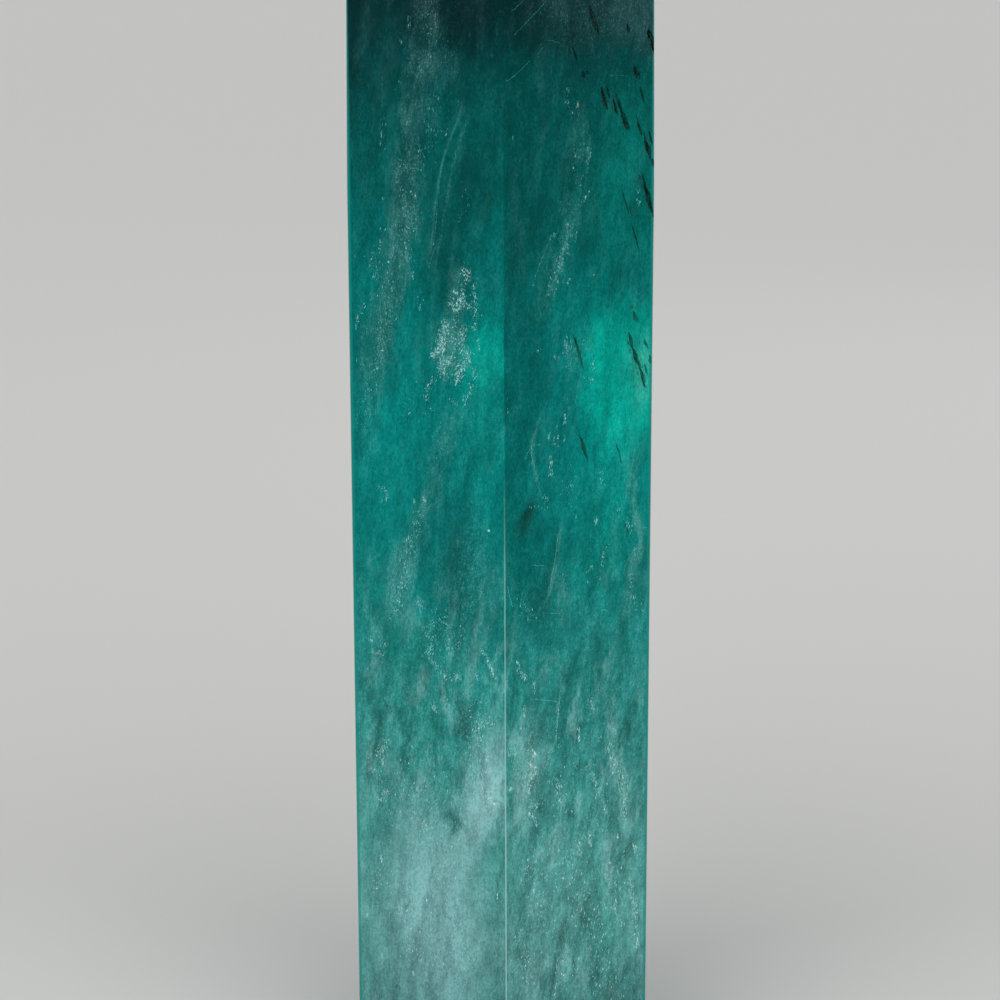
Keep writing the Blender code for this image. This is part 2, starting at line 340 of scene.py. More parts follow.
def depthBelowFlanks(place):
    # how far a point lies under the nearest flank, in millimetres
    nearest = None
    for flank in flanks:
        outward, reach = outwardOf(flank)
        along = place.add("VectorMath", {"operation": "DOT_PRODUCT"}, {0: place, 1: outward}, "Value")
        below = reach - along
        nearest = below if nearest is None else nearest.sum("MINIMUM", below)
    return nearest


def parts(vector):
    node = vector.add("SeparateXYZ", None, {"Vector": vector}).socket.node
    return [Wire(vector.tree, output) for output in node.outputs]


def splitColour(colour):
    node = colour.add("SeparateColor", None, {"Color": colour}).socket.node
    return [Wire(colour.tree, output) for output in node.outputs]


def shifted(place, swirl, reach):
    # the place pushed about by a noise, by up to half of reach each way
    push = swirl.add("VectorMath", {"operation": "MULTIPLY_ADD"}, {
        0: swirl, 1: reach, 2: [-part / 2 for part in reach]})
    return push.add("VectorMath", {"operation": "ADD"}, {0: place, 1: push})


def readOff(height, stops):
    # a colour read off a ramp by height
    stops = [(level / growth["top"], colour) for level, colour in stops]
    return height.add("ValToRGB", {"stops": stops}, {"Fac": height / growth["top"]})


def veil(place, line, half):
    # 1 along the middle of a long veil, 0 beside it; its line is kept in the colours of a ramp
    across, through, height = parts(place)
    side, span, widest = veilRamp["side"], veilRamp["span"], veilRamp["widest"]
    stops = [(z, ((x + side) / span, wide / widest, strength, 1)) for z, x, wide, strength in line]
    middle, wide, strength = splitColour(readOff(height, stops))
    off = (across - (middle * span - side)).sum("ABSOLUTE") / (wide * widest)
    hangs = ease(through, veilRamp["shallow"] * half, veilRamp["deep"] * half)
    return ease(off, *veilRamp["rim"]) * strength * hangs


def withPatches(colour, dusty, bent, across):
    # the colour and the dust with the patches laid on; across counts from the front edge
    for centre, turn, size, core, shade, amount, dustiness, side in patches.values():
        here = cloud(bent, centre, turn, size, core)
        if side:
            here = here * ease(across * side, *milk["rim"])
        colour = tint(colour, srgb(*shade), here * amount)
        if dustiness:
            dusty = dusty + here * dustiness
    return colour, dusty


def withVeils(colour, dusty, bends, patchy):
    for kind in veils.values():
        here = veil(bends[kind["bend"]], kind["line"], kind["half"]) * patchy
        colour = tint(colour, srgb(*kind["shade"]), here * kind["amount"])
        dusty = dusty + here * kind["dust"]
    return colour, dusty


def withMottling(colour, grains, fields, stirred):
    # fields say how milky, how dusty and how near the tip, and stirred is less where it is calm
    for noise, band, effect, (strength, *shares), calmed in mottling.values():
        for share, field in zip(shares, fields):
            if share:
                strength = field * share + strength
        if calmed:
            strength = stirred * strength
        here = ease(grains[noise], *band)
        if isinstance(effect, tuple):
            colour = tint(colour, srgb(*effect), here * strength)
        else:
            colour = scaled(colour, 1.0 + (here - effect) * strength)
    return colour


# paints a pale highlight along the front edge and bright edge light along the side edges
def withPaintedEdgeHighlights(colour, across, offLine, through, height):
    onFront = ease(offLine.sum("ABSOLUTE"), *edgesAndHighlights["wide"]) * ease(through, *edgesAndHighlights["front"])
    (upper, more), (lower, less) = edgesAndHighlights["pale"]
    pale = ease(height, *upper) * more + ease(height, *lower) * less
    colour = tint(colour, srgb(*edgesAndHighlights["paleHighlightShade"]), onFront * pale)
    onSide = ease(across.sum("ABSOLUTE"), *edgesAndHighlights["sideAcross"])
    onSide = onSide * ease(through, *edgesAndHighlights["sideThrough"])
    return tint(colour, srgb(*edgesAndHighlights["sideEdgeLightShade"]), onSide * edgesAndHighlights["side"])


def fluoriteMaterial():
    material, start = newMaterial("polishedFluorite")
    raw = start.add("TexCoord", None, None, "Object")
    place = scaled(raw, 1 / mm)
    across, through, height = parts(place)

    # slow swirls bend every boundary, and small ones fray it
    swirl = grain(place, *noises["swirl"], "Color")
    fray = grain(place, *noises["fray"], "Color")
    bent = shifted(shifted(place, swirl, milk["swirlReach"]), fray, milk["frayReach"])
    bends = {"swirled": bent, "frayed": shifted(place, fray, milk["frayReach"]), "straight": place}
    grains = {name: grain(place, *noises[name]) for name in ("drift", "broad", "fibre", "dust", "wave")}
    grains["mist"] = grain(bent, *noises["mist"])

    # the growth colours, and patches and veils, which the drifts break up
    offLine = across - (edgesAndHighlights["foot"] - height * edgesAndHighlights["lean"])
    milky = ease(height, *milk["heights"])
    patchy = milk["leastPatchy"] + ease(grains["drift"], *milk["patchy"])
    dusty = milk["leastDusty"] + milky * milk["dusty"]
    colour = readOff(parts(bent)[2], [(level, srgb(*shade)) for level, shade in growth["stops"]])
    colour, dusty = withPatches(colour, dusty, bent, offLine)
    colour, dusty = withVeils(colour, dusty, bends, patchy)

    # light and dark mists and drifts, and short fibres and dust, thickest where it is milky
    calm = ease(across, *milk["calmAcross"]) * ease(height, *milk["calmHeights"]) * milk["calm"]
    fields = (milky, dusty * patchy, ease(height, *milk["tip"]))
    colour = withMottling(colour, grains, fields, 1.0 - calm)
    # painted highlights on the front and side edges
    colour = withPaintedEdgeHighlights(colour, across, offLine, through, height)

    # iron stains on the walls of the open pits
    inPit = ease(depthBelowFlanks(place), *pitStain["depth"])
    inPit = inPit * ease(height, *pitStain["tip"]) * ease(height, *pitStain["foot"])
    stain = tint(srgb(*pitStain["low"]), srgb(*pitStain["high"]), ease(height, *pitStain["turn"]))
    stain = tint(stain, srgb(*pitStain["rust"]), ease(grains["dust"], *pitStain["rusty"]))
    colour = tint(colour, stain, inPit * pitStain["amount"])

    bumped = colour.add("Bump", None, {
        "Strength": crystal["waves"], "Distance": crystal["waveHeight"], "Height": grains["wave"]})
    shader = colour.add("BsdfPrincipled", None, {
        "Base Color": colour, "Roughness": crystal["roughness"] + inPit * pitStain["rough"],
        "Normal": bumped, "IOR": crystal["ior"], "Transmission Weight": crystal["seeThrough"],
        "Specular IOR Level": crystal["glossLevel"], "Specular Tint": crystal["glossTint"]})
    inside = start.add("VolumeAbsorption", None, {
        "Color": crystal["absorbColour"], "Density": crystal["absorbDensity"]})
    start.add("OutputMaterial", None, {"Surface": shader, "Volume": inside})
    return material


fluorite = fluoriteMaterial()
point = bpy.data.objects["fluorite_point"]
for slot in point.material_slots:
    slot.material = fluorite
print("crystal finished")

# Flecks close under the polish of the front flanks. Each strand has how many flecks, how far they
# stray from its line and how long they are, and then the line, across and up the flank point by
# point, in millimetres. A group makes "many" times as many, which lie "slant" degrees off upright,
# give or take "turn".
inclusions = {}
inclusions["sparkleCluster"] = {
    "flank": "frontLeft", "finish": "sparkle", "slant": 8, "turn": 30, "seed": 3, "many": 8, "strands": [
        (26, 0.7, 0.5, 7.2, 143.9, 8.3, 143, 7.8, 141.8), (14, 0.5, 0.44, 7.4, 141.6, 7.2, 140.3, 7.6, 139),
        (5, 0.2, 0.57, 5.3, 140.3, 6.1, 139.9), (18, 0.4, 0.5, 6.5, 139.6, 7.6, 138.4, 8.7, 137.8),
        (34, 0.7, 0.5, 4.9, 138.2, 6.3, 138.5, 7, 137.4), (12, 0.4, 0.44, 5.1, 136.9, 6.4, 137.2),
        (34, 0.4, 0.47, 9.3, 142.4, 9.4, 139.8, 9.6, 136.8, 9.2, 133.7),
        (10, 0.5, 0.4, 5.9, 136, 5.3, 134.5), (44, 0.6, 0.54, 3.8, 135.2, 4.3, 134.1, 3, 132.5),
        (46, 0.6, 0.57, 3.4, 132.5, 3.4, 130.7, 2.4, 130), (26, 0.5, 0.54, 2.4, 130.5, 1.3, 129.2),
        (44, 0.6, 0.47, 3.4, 129.6, 3.5, 126), (16, 0.4, 0.44, 2.8, 128.5, 2.6, 126.1),
        (50, 0.8, 0.5, 7.4, 134.2, 6.8, 132.5, 7.1, 130.9),
        (46, 0.8, 0.5, 7.5, 130.9, 8.1, 129.3, 7.3, 127.6), (34, 0.6, 0.5, 6.9, 127.6, 6, 125.4),
        (16, 0.8, 0.4, 5.1, 133, 5.6, 131.1), (16, 0.4, 0.67, 5.1, 129.7, 4.5, 128.4),
        (24, 0.6, 0.47, 5.8, 128.8, 6, 126.5), (5, 0.3, 0.47, 10.1, 133.1, 10, 130.8),
        (14, 0.5, 0.44, 1.6, 125.6, 0.5, 123.9), (8, 0.5, 0.4, 0.3, 123.9, 0.1, 121.7),
        (6, 0.5, 0.4, 1.4, 120.8, -0.2, 119.5), (12, 0.4, 0.47, 9.6, 128.2, 9.2, 126.2),
        (18, 0.5, 0.47, 8.8, 125.1, 7.7, 123.1, 7.5, 121.7), (4, 0.3, 0.37, 5, 122.3, 6.1, 121.8),
        # the strands from here on are single bright specks, each a few flecks packed close; most are
        # painted glints, bright flecks put where the crystal glints
        (2, 0.1, 0.8, 11.7, 101.5, 11.9, 101.4), (2, 0.1, 0.7, -2.4, 104.8, -2.3, 104.3),
        (3, 0.1, 0.8, -0.6, 105.6, -0.4, 105.1), (1, 0.1, 0.7, -3.2, 119.6, -3.2, 119.4),
        (1, 0.1, 0.7, 1.8, 147.6, 1.8, 147.4), (2, 0.1, 0.7, 12.7, 54.9, 12.8, 54.6),
        (2, 0.1, 0.6, -9.1, 58.6, -9.1, 58.1), (5, 0.1, 0.6, -9.8, 42.1, -9.6, 40.3),
        (4, 0.1, 0.6, -12.8, 30.1, -12.9, 29.5),
    ],
}
inclusions["edgeSparkle"] = {
    "flank": "frontRight", "finish": "sparkle", "slant": 8, "turn": 26, "seed": 29, "many": 8, "strands": [
        # all strands but the last are painted glints: a few bright flecks packed close where the crystal
        # glints
        (3, 0.1, 0.8, -10.9, 68, -10.8, 67.7), (5, 0.1, 0.9, -8.3, 63.2, -8.1, 62.7),
        (12, 0.2, 0.6, -8.9, 60.9, -8.2, 60.6, -8.1, 59.6, -8.6, 59),
        (5, 0.1, 0.9, -13.2, 57.4, -12.7, 57.8), (2, 0.1, 0.6, -12.1, 63.4, -11.9, 63.4),
        (6, 0.2, 0.7, -9.4, 52.8, -8.7, 52), (4, 0.2, 0.7, -9.3, 57, -9.3, 56.4),
        (60, 1.3, 0.44, -9.6, 64.5, -9.2, 53),
    ],
}
inclusions["veilFlecks"] = {
    "flank": "frontLeft", "finish": "fleck", "slant": 10, "turn": 15, "seed": 5, "many": 3.2, "strands": [
        (7, 0.4, 0.6, 1.4, 185.9, 1.6, 182.5, 0.6, 180), (5, 0.3, 0.84, -2.3, 183.9, -2.5, 182.1),
        (28, 1.2, 0.54, 3.4, 181.6, 4, 178.2, 2.8, 176), (13, 0.8, 0.54, 1, 181.6, 1.5, 177.6),
        (5, 0.3, 0.67, -4.2, 180.7, -4, 179), (26, 1.3, 0.5, 5.1, 178.6, 6.1, 173.9, 5.4, 168.9),
        (6, 0.3, 0.76, -0.7, 175.9, -0.4, 174), (6, 0.7, 0.5, -3.7, 174.3, -4.7, 171.7),
        (16, 0.7, 0.57, -7.6, 167.1, -7.7, 162.3), (60, 1.5, 0.54, 2.4, 171.5, 1.6, 166.7, 0.8, 162.7),
        (5, 0.3, 0.67, 3.3, 166.5, 3.8, 165.1), (10, 0.4, 0.6, -1.2, 163.7, -0.5, 162.2),
        (18, 0.6, 0.54, -3.3, 161.2, -4.9, 158.6), (70, 1.3, 0.5, -0.7, 162.6, -1.1, 157.8, -2.5, 153.7),
        (14, 0.6, 0.54, -4.9, 157.6, -3.6, 154.5), (3, 0.2, 0.54, -7.8, 154.4, -7.6, 153.8),
        (80, 1.5, 0.47, -2.3, 153.8, -2.9, 150.5, -4.4, 147.2), (4, 0.2, 0.67, -7.4, 151.7, -6.9, 151.1),
        (7, 0.3, 0.6, -8.3, 149.4, -6.7, 149.3), (14, 0.7, 0.54, -8.5, 146.9, -9.3, 144.7),
        (26, 1, 0.5, -4.1, 147.2, -2.6, 144.5), (7, 0.2, 0.54, -14.8, 144.7, -14, 144.4),
        (32, 1, 0.5, -9.3, 144.1, -9, 140.3), (60, 1.5, 0.47, -6.6, 144.2, -7.4, 139.6),
        (70, 1.5, 0.44, -7.6, 139.6, -7.3, 135), (34, 0.6, 0.47, -11.2, 137, -12.2, 134.9, -14.2, 132.3),
        (60, 1.3, 0.44, -7.5, 135, -8.5, 130.4), (34, 0.8, 0.5, -8.3, 130.4, -9.2, 127.9),
        (30, 0.6, 0.54, -9.5, 127.8, -10, 124.6), (36, 1, 0.44, -10, 124.4, -11.2, 121),
        (34, 1.2, 0.44, -11.6, 120.9, -13.5, 116.5), (8, 0.3, 0.5, -15.1, 127.2, -13.9, 127.8),
        (14, 0.4, 0.57, -0.9, 139.6, -1.1, 136.8), (5, 0.2, 0.6, -2, 142.9, -2.2, 141.4),
        (8, 0.7, 0.5, 7.9, 157.5, 8.4, 153.5), (5, 0.5, 0.5, 6.3, 151.5, 7.5, 153.2),
        (16, 1.5, 0.4, -1.8, 125.2, -4.6, 118.2), (24, 2, 0.37, 2.7, 117.3, 0.7, 110.4),
    ],
}
inclusions["lowerFlecks"] = {
    "flank": "frontLeft", "finish": "fleck", "slant": 8, "turn": 17, "seed": 6, "many": 7, "strands": [
        (26, 0.4, 0.44, -9.5, 106.4, -7.9, 106.1, -7.7, 104.4, -9.3, 103.8),
        (4, 0.2, 0.67, -2.4, 105, -2.3, 104.3), (6, 0.3, 0.6, -0.7, 105.5, -0.3, 105.2),
        (50, 0.8, 0.47, -1.3, 103.4, -2.1, 99.9, -4.1, 95.4),
        (60, 1.2, 0.47, -4.1, 94.5, -5, 89.2, -6.2, 85.3), (16, 0.5, 0.44, -1.5, 87.8, -1.1, 86.7),
        (2, 0.1, 0.67, -7.4, 84.2, -7.2, 83.9),
        (34, 0.4, 0.47, -10.1, 81.9, -11.1, 79.7, -10.9, 77.6, -8.9, 77.5, -8.1, 80.1),
        (50, 0.6, 0.47, 1.2, 84.7, 0, 82.7, 0.6, 80.5, 0.4, 78.2),
        (40, 0.4, 0.54, 0.4, 78.2, 1.9, 76.3, 5.1, 75.2, 6.2, 76.3),
        (34, 0.7, 0.5, 4.3, 84.5, 3.9, 81.8, 4.7, 79.2), (14, 0.7, 0.47, 6.3, 83.9, 5.5, 80.3),
        (36, 0.3, 0.57, 10.5, 81.4, 11.6, 79.5, 13.1, 76.6), (6, 0.3, 0.6, 9.3, 77.1, 9.7, 75.8),
        (14, 0.4, 0.54, 0.9, 70.1, 1.7, 69), (10, 0.5, 0.5, 3.3, 72.2, 4.2, 70.1),
        (8, 0.5, 0.44, 8.9, 71.8, 11.4, 72.6), (46, 1, 0.54, 8.5, 66, 10.4, 68.6, 13.3, 69.1),
        (26, 0.7, 0.54, -8.3, 62.4, -10.2, 59.2), (12, 0.3, 0.57, -9, 60.9, -9.2, 57.8),
        (6, 0.5, 0.47, -11, 56.9, -11.5, 55.8), (30, 0.6, 0.54, -8, 54, -10.1, 51.3),
        (50, 1, 0.47, 10.8, 56.1, 12.7, 54.3), (34, 1.5, 0.47, -1.9, 49.2, 0.1, 45.9),
        (6, 0.2, 0.67, -9.9, 41.2, -9.5, 40), (22, 0.8, 0.5, -10.1, 38.6, -11, 34.8),
        (5, 0.2, 0.67, -12.7, 30.7, -12.8, 29.4), (6, 0.3, 0.57, -0.4, 35.5, -0.8, 34.4),
        (12, 0.5, 0.5, -6.1, 33, -5.5, 31.4), (6, 0.3, 0.5, 13.2, 39.1, 13.4, 37.4),
        (10, 0.5, 0.47, 11.3, 40.9, 11.8, 36.5), (10, 0.5, 0.5, -4.5, 27.8, -4.2, 25.1),
        (4, 0.2, 0.6, -9.9, 23.9, -9.7, 22.8), (5, 0.2, 0.6, -3.6, 21.7, -3.4, 20.8),
        (5, 0.3, 0.5, 1.6, 18.9, 1.8, 17.9), (60, 2.2, 0.38, 2.9, 86.5, 1.8, 77.5),
    ],
}
inclusions["wispFlecks"] = {
    "flank": "frontRight", "finish": "fleck", "slant": 8, "turn": 15, "seed": 7, "many": 3.8, "strands": [
        (18, 0.5, 0.57, -1.9, 172.5, -2.4, 170, -1.3, 168.7), (12, 0.3, 0.67, -0.4, 170.6, -0.2, 167.4),
        (3, 0.1, 0.6, -12.2, 165, -12.1, 164.3), (22, 0.3, 0.64, 1.7, 163.2, 2, 161.8, 1.6, 160.2),
        (14, 0.4, 0.5, -0.7, 162.4, -0.1, 161.1), (7, 0.3, 0.47, -1.3, 160.2, -0.9, 159),
        (5, 0.2, 0.5, -2, 157.8, -1.4, 157.5), (6, 0.2, 0.54, 0.8, 158.6, 0.1, 157.2),
        (7, 0.2, 0.6, 0.3, 156.9, 0.2, 155.5), (12, 0.2, 0.6, 2, 156, 1.2, 154.8, 0.9, 154.1),
        (10, 0.3, 0.5, 11, 155.5, 11.7, 155.1), (14, 0.3, 0.47, 11, 154, 11.7, 153.7, 11.3, 153),
        (14, 0.2, 0.6, -1.9, 151.3, -2.2, 150, -2.3, 148.9),
        (16, 0.3, 0.54, -3.9, 149.6, -4.8, 148.9, -5.2, 147.9),
        (18, 0.3, 0.5, -2.2, 148.9, -1.4, 148.8, -0.5, 149.1), (6, 0.2, 0.47, -0.7, 148.6, -0.6, 147.8),
        (40, 0.4, 0.67, -2.5, 148.1, -3.3, 146, -3.8, 144.3), (12, 0.2, 0.5, -2, 147.4, -2.1, 144.8),
        (14, 0.3, 0.5, -3.1, 144.9, -3.5, 143.3), (56, 0.8, 0.5, -4, 144, -4.8, 141.5, -5.9, 139.6),
        (8, 0.2, 0.54, -1.8, 142, -2.1, 141.1), (3, 0.1, 0.5, 2.8, 142.4, 2.9, 142),
        (3, 0.1, 0.5, -8.5, 141.7, -8.6, 141.4), (44, 0.8, 0.57, -2.7, 131.8, -1.5, 130.4, -1.9, 129.2),
        (8, 0.2, 0.57, -1.5, 132.4, -1.2, 131.1), (3, 0.1, 0.6, -4.5, 129.5, -4.3, 129.4),
        (3, 0.1, 0.6, -3.8, 129.5, -3.7, 129.3), (5, 0.3, 0.4, -8.3, 132.5, -7.6, 132.1),
        (8, 0.5, 0.37, -8.7, 130.2, -7.2, 130.6), (14, 0.5, 0.44, 1.1, 131.8, 1.5, 129.8),
        (14, 0.5, 0.5, 2.5, 128.1, 2.7, 126.8), (14, 0.3, 0.47, 1, 125.6, 2.3, 125.2, 2.9, 124.9),
        (4, 0.3, 0.44, 0.2, 122.7, -0.2, 122.1), (16, 0.2, 0.74, -2.6, 120.1, -2.5, 118.3),
        (4, 0.1, 0.67, -4, 118.5, -3.9, 117.4), (6, 0.1, 0.67, -5.4, 117.1, -5.5, 116),
        (4, 0.1, 0.6, -4.6, 116.5, -4.5, 115.7), (7, 0.2, 0.67, -3.8, 116.9, -3.6, 115.6),
        (6, 0.2, 0.57, -2.6, 116.5, -2.5, 115.6), (10, 0.3, 0.44, -4.9, 115.2, -3.4, 114.7),
        (7, 0.2, 0.5, -5.5, 113, -4.9, 113.1), (26, 0.4, 0.67, -5.1, 112.6, -5.1, 109.9),
        (3, 0.2, 0.5, -13.4, 123.5, -13.4, 122.7), (5, 0.2, 0.5, -13.5, 122, -13.4, 121.1),
        (20, 1, 0.44, -2.4, 110.6, -1.1, 105.4), (14, 0.7, 0.44, 4.3, 109.9, 5.1, 107.1),
        (14, 0.4, 0.5, -6.6, 106.7, -5.9, 105.6), (5, 0.3, 0.47, -2.8, 108.1, -2.2, 107.4),
        (16, 0.3, 0.34, -10.4, 105.1, -5.8, 104.8), (10, 0.3, 0.57, 3.6, 102, 3.5, 100.8),
        (9, 0.2, 0.47, 7.8, 102.8, 8.5, 102.8), (4, 0.2, 0.5, -0.5, 103, -0.3, 102.3),
        (16, 0.6, 0.5, 9.3, 100.8, 10.3, 98.9), (30, 0.4, 0.5, 5.4, 97, 5, 95.1, 4.7, 93.5),
        (12, 0.4, 0.47, 2.9, 93.9, 2.1, 92.8), (3, 0.1, 0.57, 2, 91.2, 2.1, 91.1),
        (9, 0.3, 0.5, 3.9, 91.3, 5.1, 91.7), (22, 0.5, 0.44, -3.1, 93.6, -2.2, 90.3),
        (14, 0.3, 0.57, 11.2, 95.6, 11.6, 93.9), (12, 0.3, 0.57, 10.4, 91.7, 10.8, 88.5),
        (16, 0.4, 0.54, 11.3, 87.6, 11.9, 84.9), (8, 0.2, 0.54, 12.7, 86.9, 12.9, 84),
        (34, 1.2, 0.44, -11, 89.1, -8.5, 86.7), (3, 0.1, 0.57, -8, 86.4, -7.9, 86.1),
        (5, 0.3, 0.47, -5.3, 85.2, -4.9, 84.5), (20, 0.3, 0.6, -11.6, 79.6, -11, 77.8, -9.9, 75.9),
        (16, 0.4, 0.54, -10.8, 77.4, -9.9, 76.6), (12, 0.2, 0.67, -8.3, 75.3, -8.2, 73.2),
        (14, 0.2, 0.67, -10.2, 71.8, -10.3, 69.8), (4, 0.1, 0.54, -10.8, 68, -10.8, 67.8),
        (16, 0.2, 0.67, 0.4, 65.9, 0.5, 63.6), (30, 0.1, 0.5, -3.5, 71.4, -3.8, 68.3, -4.1, 64.6),
        (16, 0.2, 0.57, 2.8, 71, 3, 69.2, 3.8, 68.5), (6, 0.2, 0.57, -5.8, 66.6, -5.6, 65.3),
        (4, 0.2, 0.5, -12.1, 63.8, -12.1, 63.1), (36, 1, 0.4, -9.7, 64.6, -9.1, 62.6),
        (8, 0.2, 0.5, -8.1, 63.1, -8, 62.2), (46, 0.7, 0.47, -9.7, 61.6, -8.5, 59),
        (34, 0.5, 0.5, -9.1, 59.1, -9.5, 56.7), (20, 0.7, 0.44, -11.4, 62.3, -11.8, 58.9),
        (10, 0.2, 0.54, -12.6, 57.6, -13.2, 57.4), (22, 0.8, 0.5, -8.7, 54.8, -7.6, 53.5),
        (24, 0.3, 0.57, -9.3, 52.8, -8, 51.1, -7.6, 50.3), (18, 0.7, 0.44, -13.3, 65.2, -12.6, 60.7),
        (16, 0.8, 0.44, -6.2, 63.2, -5.2, 59.5),
    ],
}
inclusions["footFlecksLeft"] = {
    "flank": "frontLeft", "finish": "haze", "slant": 6, "turn": 13, "seed": 11, "many": 7, "strands": [
        (80, 3, 0.5, -6, 41.2, -2.2, 23.7), (90, 3.4, 0.5, 4, 43.1, 7.8, 20.3),
        (50, 2.4, 0.47, -9.9, 55, 2.1, 53.5), (300, 6.8, 0.44, -1, 60, 0, 20),
        (200, 2.6, 0.44, 9, 70, 10.5, 52),
    ],
}
inclusions["footFlecksRight"] = {
    "flank": "frontRight", "finish": "haze", "slant": 6, "turn": 16, "seed": 13, "many": 7, "strands": [
        (110, 0.8, 0.57, 6.3, 62.1, 7.5, 59.1, 8.7, 55.3, 9.6, 50.4, 9.2, 48),
        (44, 0.4, 0.6, 3.1, 57.7, 4.3, 54.2, 5.9, 50), (26, 0.7, 0.57, -3.6, 58.3, -3.2, 53.8),
        (5, 0.2, 0.6, 8.2, 45.6, 8.4, 45), (20, 0.3, 0.67, 11.7, 43.3, 12.1, 40.5),
        (26, 0.5, 0.6, 0.8, 46.3, 0.6, 43.3), (12, 0.2, 0.67, 2.4, 46.9, 2.7, 44.7),
        (70, 2.4, 0.6, -2, 44.7, 1.8, 31.2), (90, 2.4, 0.6, -9.1, 46, -6.2, 31.1),
        (70, 1.7, 0.67, 6.8, 41.2, 9, 27.9), (100, 0.5, 0.67, 10.8, 37.5, 11.8, 31.9, 12.5, 24.4),
        (60, 1.7, 0.57, -11.1, 32.1, -9.1, 19.9), (12, 0.5, 0.6, -4, 24.2, -2, 22),
        (16, 0.4, 0.6, -3.8, 21.4, -4.6, 18.3), (80, 2.7, 0.6, 2.8, 34.7, 7, 17.2),
        (320, 6.8, 0.47, 0, 60, 0.5, 20),
    ],
}
inclusions["pitSlivers"] = {
    "flank": "frontRight", "finish": "stain", "slant": -19, "turn": 7, "seed": 19, "many": 1.3, "strands": [
        (5, 0.3, 0.84, 1.4, 184.8, 2, 183.7), (5, 0.2, 1.01, 2.4, 184.9, 2.7, 183.3),
        (8, 0.2, 1.01, 2.8, 182.7, 3.7, 180.8), (6, 0.2, 0.67, 9, 182.2, 9.4, 181.1),
        (14, 0.3, 1.01, 12.4, 181.2, 13.4, 179.6, 14, 177.7), (5, 0.1, 1.01, -0.8, 178.6, -0.9, 176.6),
        (16, 0.3, 0.67, 0, 175.1, 2.1, 173.6), (8, 0.2, 1.01, 9.8, 175.7, 10.4, 173.3),
        (8, 0.2, 1.01, 10.7, 175.6, 11.3, 173.9), (3, 0.1, 1.18, 5.6, 177.8, 5.6, 175.7),
        (10, 0.2, 1.01, 3.9, 172.5, 4.3, 170.7, 4.7, 168.8), (6, 0.1, 1.01, 4.9, 172, 4.9, 170.4),
        (8, 0.1, 1.01, 6, 170.6, 6.4, 168.4), (24, 0.3, 1.01, 6.8, 171.1, 7.4, 169, 8, 167.1, 8.6, 164.2),
        (6, 0.1, 1.01, 11.2, 173.2, 11.8, 171.4, 12.1, 170.1),
        (8, 0.1, 1.18, 10.4, 168.1, 11.2, 166.3, 11.8, 164.3),
        (26, 0.4, 0.84, 11.8, 165.6, 12.6, 163.7, 13.4, 160.7), (6, 0.2, 0.67, 13.6, 160.2, 14, 158.7),
        (20, 0.2, 1.18, 11.3, 157.9, 12.3, 155.6, 13.7, 152.2),
        (16, 0.2, 1.18, 12.5, 157.5, 13.3, 155.2, 14.3, 153), (4, 0.1, 1.01, 8.4, 156.6, 8.1, 154.8),
        (34, 0.2, 1.01, 8.6, 155.8, 9.6, 153.3, 10.6, 150.5, 11.4, 147.8, 12, 144.8),
        (20, 0.3, 0.67, 10, 137.1, 10.4, 135.4, 10.8, 133.4), (7, 0.3, 0.5, 10.8, 132.7, 11.6, 131.3),
        (18, 0.2, 1.01, 9, 132.5, 9.6, 130.5, 10.5, 128.1),
        (34, 0.4, 0.84, 10.4, 128.4, 11.5, 125.6, 12.5, 123.5, 13.3, 122.6),
        (14, 0.4, 0.67, 11.6, 131, 12.8, 128.8), (14, 0.2, 1.01, 12.2, 127.9, 13, 125),
        (6, 0.2, 0.67, 13.2, 128.1, 14, 126.4),
        (20, 0.2, 1.18, -1.5, 133.7, -0.4, 131, 1, 128.2, 1.9, 126.2),
        (8, 0.2, 0.67, 3.2, 133.3, 1.9, 132.1, 1.3, 131), (12, 0.2, 1.01, 0.1, 116.7, 1, 114.3, 1.6, 111.8),
        (8, 0.1, 1.01, 7, 115.3, 7.5, 112.9), (3, 0.1, 0.84, 9.2, 119.6, 9.2, 118.3),
    ],
}

# How the flecks are shaped, as shares of their length, and how they lie in the crystal: most are
# small, a few are long, most lie level with the polish and some deeper, and crumbs lie loosely
# round them
fleckShape = {
    "stray": 0.575, "wide": (0.17, 0.38), "thick": 0.11, "smallest": 0.22, "spare": 1.15, "rarer": 3,
    "level": (-0.1, 0.15), "buried": 0.3, "deep": 1.6, "depths": (0.1, 1), "edge": 13.3,
    "crumbs": 0.55, "crumbSize": 0.55, "crumbStray": 1.6,
}

